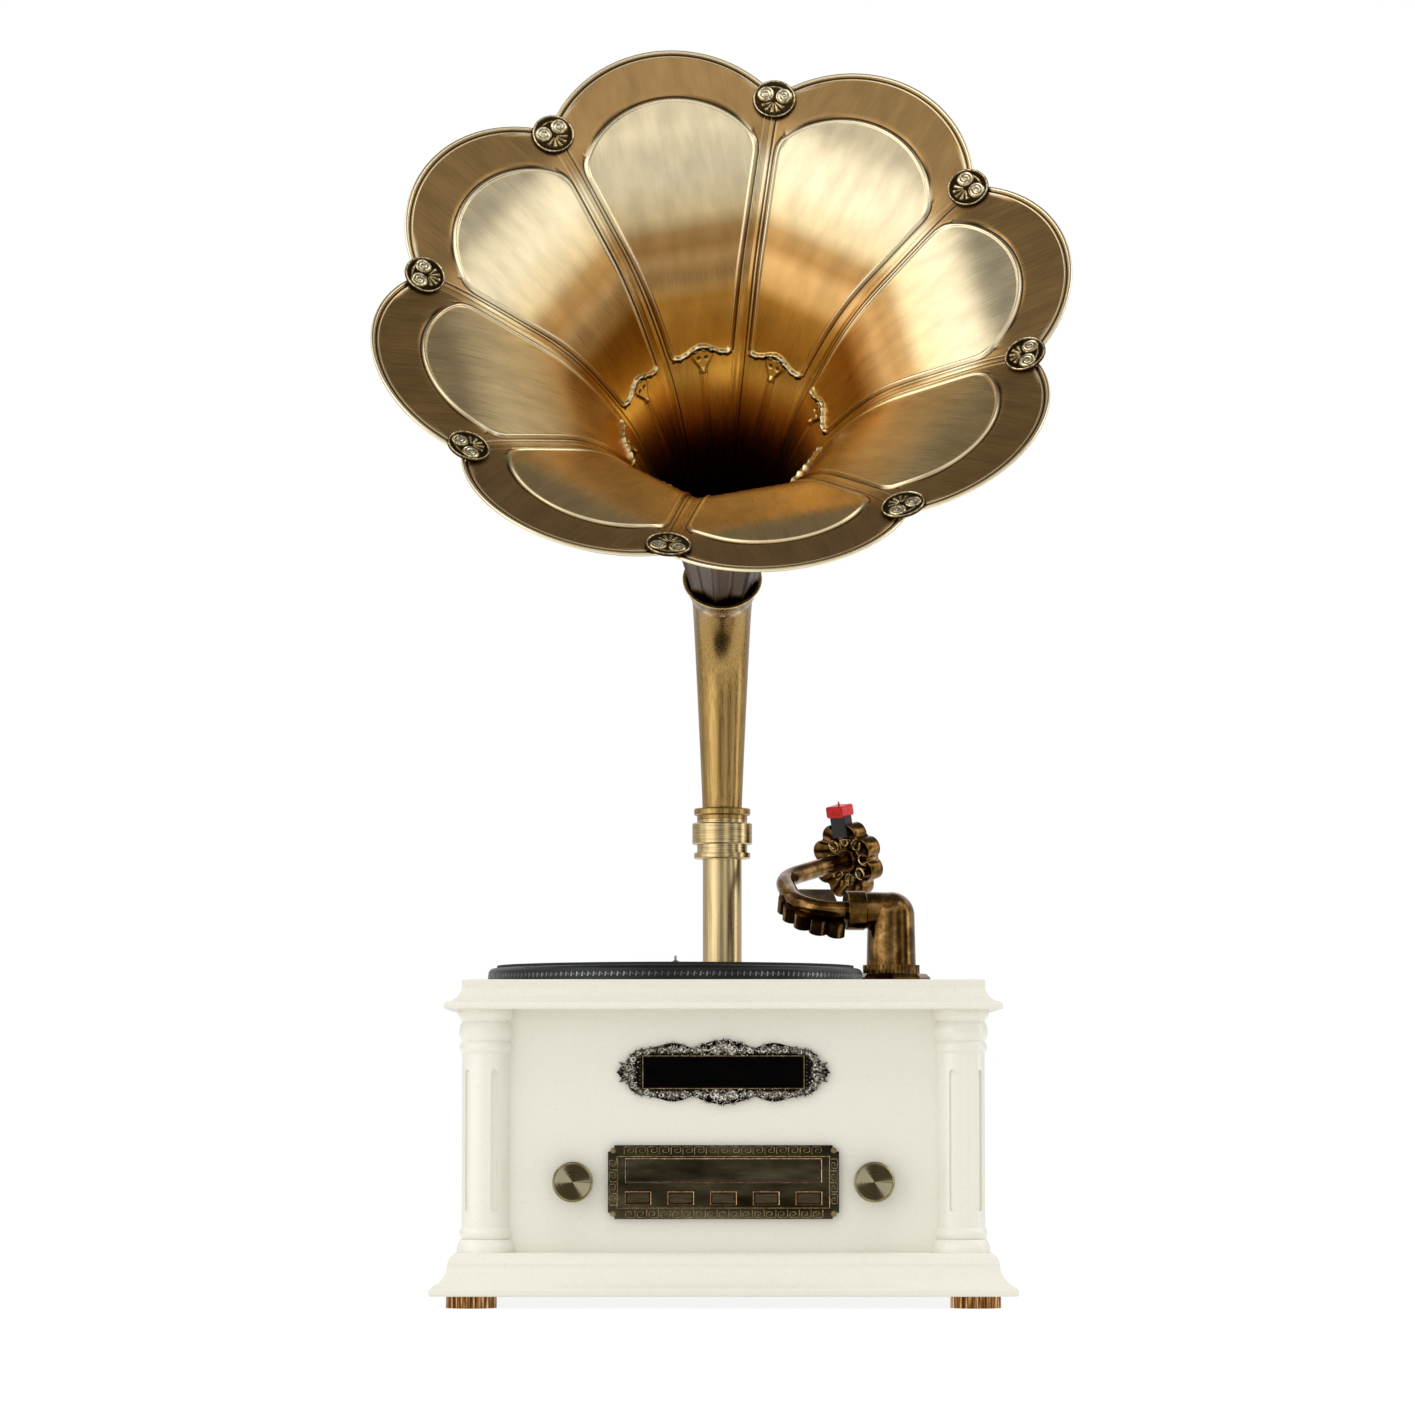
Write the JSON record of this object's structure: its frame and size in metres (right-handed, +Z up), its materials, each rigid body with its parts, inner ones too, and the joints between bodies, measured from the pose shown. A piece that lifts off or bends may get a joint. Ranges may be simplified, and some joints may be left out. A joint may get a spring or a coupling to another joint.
{
  "type": "horn record player",
  "caption": "Gramophone-style record player: cream cabinet with columns, brass petal horn on a post, turntable, flip-over tonearm, display, disc drawer, push buttons and knobs.",
  "frame": {"origin": "middle of the object's outline, seen from above, at the height of the feet's underside", "axes": "+Z up, the front with the controls looks along -Y, +X to the right seen from the front"},
  "size_m": [0.547, 0.5572, 1.0069],
  "materials": {
    "ivory_lacquer": "gloss ivory lacquer on fibreboard",
    "antique_brass": "brushed antique brass, lacquered",
    "cast_brass": "dark antique brass, cast",
    "bronze_arm": "polished dark bronze",
    "knob_brass": "spun brass face",
    "steel": "plated steel",
    "rear_steel": "black powder coat",
    "zinc_motor": "zinc plate",
    "bearing_brass": "turned",
    "phono_nickel": "nickel plate",
    "platter_alloy": "gloss black lacquer",
    "mat_rubber": "matt black rubber",
    "belt_rubber": "black rubber",
    "black_plastic": "black",
    "button_bronze": "satin bronze",
    "red_plastic": "red",
    "dark_window": "smoked",
    "circuit_board": "green laminate with parts"
  },
  "bodies": {
    "cabinet": {"base_board": "ivory_lacquer", "feet": "cast_brass", "foot_screws": "steel", "front_panel": "ivory_lacquer", "back_panel": "ivory_lacquer", "left_side_panel": "ivory_lacquer", "right_side_panel": "ivory_lacquer", "front_left_column": "ivory_lacquer", "front_right_column": "ivory_lacquer", "rear_left_column": "ivory_lacquer", "rear_right_column": "ivory_lacquer", "top_board": "ivory_lacquer", "display_bezel": "cast_brass", "display_window": "dark_window", "display_module": "circuit_board", "control_panel": "cast_brass", "plate_screws": "steel", "button_board": "circuit_board", "cd_chassis": "black_plastic", "rotary_encoders": "circuit_board", "main_board": "circuit_board", "transformer": "zinc_motor", "platter_bearing": "bearing_brass", "platter_motor": "zinc_motor", "drive_belt": "belt_rubber", "arm_base": "bronze_arm", "arm_base_nut": "steel", "post_socket": "black_plastic", "post_tube": "antique_brass", "post_collar": "antique_brass", "horn_driver": "zinc_motor", "rear_plate": "rear_steel", "ac_inlet": "black_plastic", "phono_jacks": "phono_nickel", "switch_body": "black_plastic"},
    "turntable": {"platter": "platter_alloy", "platter_mat": "mat_rubber", "platter_spindle": "steel"},
    "pulley": {"motor_pulley": "steel"},
    "arm_pillar": {"arm_column": "bronze_arm"},
    "tonearm": {"arm_collar": "bronze_arm", "arm_tube": "bronze_arm", "arm_counterweight": "bronze_arm", "arm_head": "bronze_arm", "cartridge": "black_plastic", "stylus": "red_plastic"},
    "horn": {"horn_elbow": "antique_brass", "horn_petals": "antique_brass", "horn_medallions": "cast_brass"},
    "volume": {"volume_knob": "knob_brass"},
    "tuning": {"tuning_knob": "knob_brass"},
    "drawer": {"cd_tray": "black_plastic", "cd_tray_door": "button_bronze"},
    "rocker": {"power_rocker": "black_plastic"},
    "push_button_1": {"button_1": "button_bronze"},
    "push_button_2": {"button_2": "button_bronze"},
    "push_button_3": {"button_3": "button_bronze"},
    "push_button_4": {"button_4": "button_bronze"},
    "push_button_5": {"button_5": "button_bronze"}
  },
  "joints": [
    {"name": "platter_spin", "type": "hinge", "parent": "cabinet", "child": "turntable", "pos_m": [-0.038, 0.03837, 0.251], "axis": [0, 0, 1], "continuous": true},
    {"name": "pulley_spin", "type": "hinge", "parent": "cabinet", "child": "pulley", "pos_m": [-0.12144, 0.12181, 0.251], "axis": [0, 0, 1], "continuous": true},
    {"name": "arm_swing", "type": "hinge", "parent": "cabinet", "child": "arm_pillar", "pos_m": [0.138, 0.12337, 0.251], "axis": [0, 0, 1], "range_deg": [-54, 6]},
    {"name": "arm_flip", "type": "hinge", "parent": "arm_pillar", "child": "tonearm", "pos_m": [0.138, 0.12337, 0.3132], "axis": [0.9848, 0.1736, 0], "range_deg": [0, 159]},
    {"name": "horn_swivel", "type": "hinge", "parent": "cabinet", "child": "horn", "pos_m": [0, 0.21537, 0.3925], "axis": [0, 0, 1], "range_deg": [-45, 45]},
    {"name": "volume_turn", "type": "hinge", "parent": "cabinet", "child": "volume", "pos_m": [-0.1155, -0.13913, 0.096], "axis": [0, -1, 0], "range_deg": [-150, 150]},
    {"name": "tuning_turn", "type": "hinge", "parent": "cabinet", "child": "tuning", "pos_m": [0.1155, -0.13913, 0.096], "axis": [0, -1, 0], "continuous": true},
    {"name": "drawer_slide", "type": "slide", "parent": "cabinet", "child": "drawer", "axis": [0, -1, 0], "range_m": [0, 0.135]},
    {"name": "power_switch", "type": "hinge", "parent": "cabinet", "child": "rocker", "pos_m": [0.002, 0.22447, 0.078], "axis": [-1, 0, 0], "range_deg": [0, 16]},
    {"name": "button_1_press", "type": "slide", "parent": "cabinet", "child": "push_button_1", "axis": [0, 1, 0], "range_m": [0, 0.002], "stiffness_N_per_m": 400, "springref_m": -0.001},
    {"name": "button_2_press", "type": "slide", "parent": "cabinet", "child": "push_button_2", "axis": [0, 1, 0], "range_m": [0, 0.002], "stiffness_N_per_m": 400, "springref_m": -0.001},
    {"name": "button_3_press", "type": "slide", "parent": "cabinet", "child": "push_button_3", "axis": [0, 1, 0], "range_m": [0, 0.002], "stiffness_N_per_m": 400, "springref_m": -0.001},
    {"name": "button_4_press", "type": "slide", "parent": "cabinet", "child": "push_button_4", "axis": [0, 1, 0], "range_m": [0, 0.002], "stiffness_N_per_m": 400, "springref_m": -0.001},
    {"name": "button_5_press", "type": "slide", "parent": "cabinet", "child": "push_button_5", "axis": [0, 1, 0], "range_m": [0, 0.002], "stiffness_N_per_m": 400, "springref_m": -0.001}
  ],
  "couplings": [
    {"joint": "pulley_spin", "follows": "platter_spin", "ratio": 15.333}
  ]
}
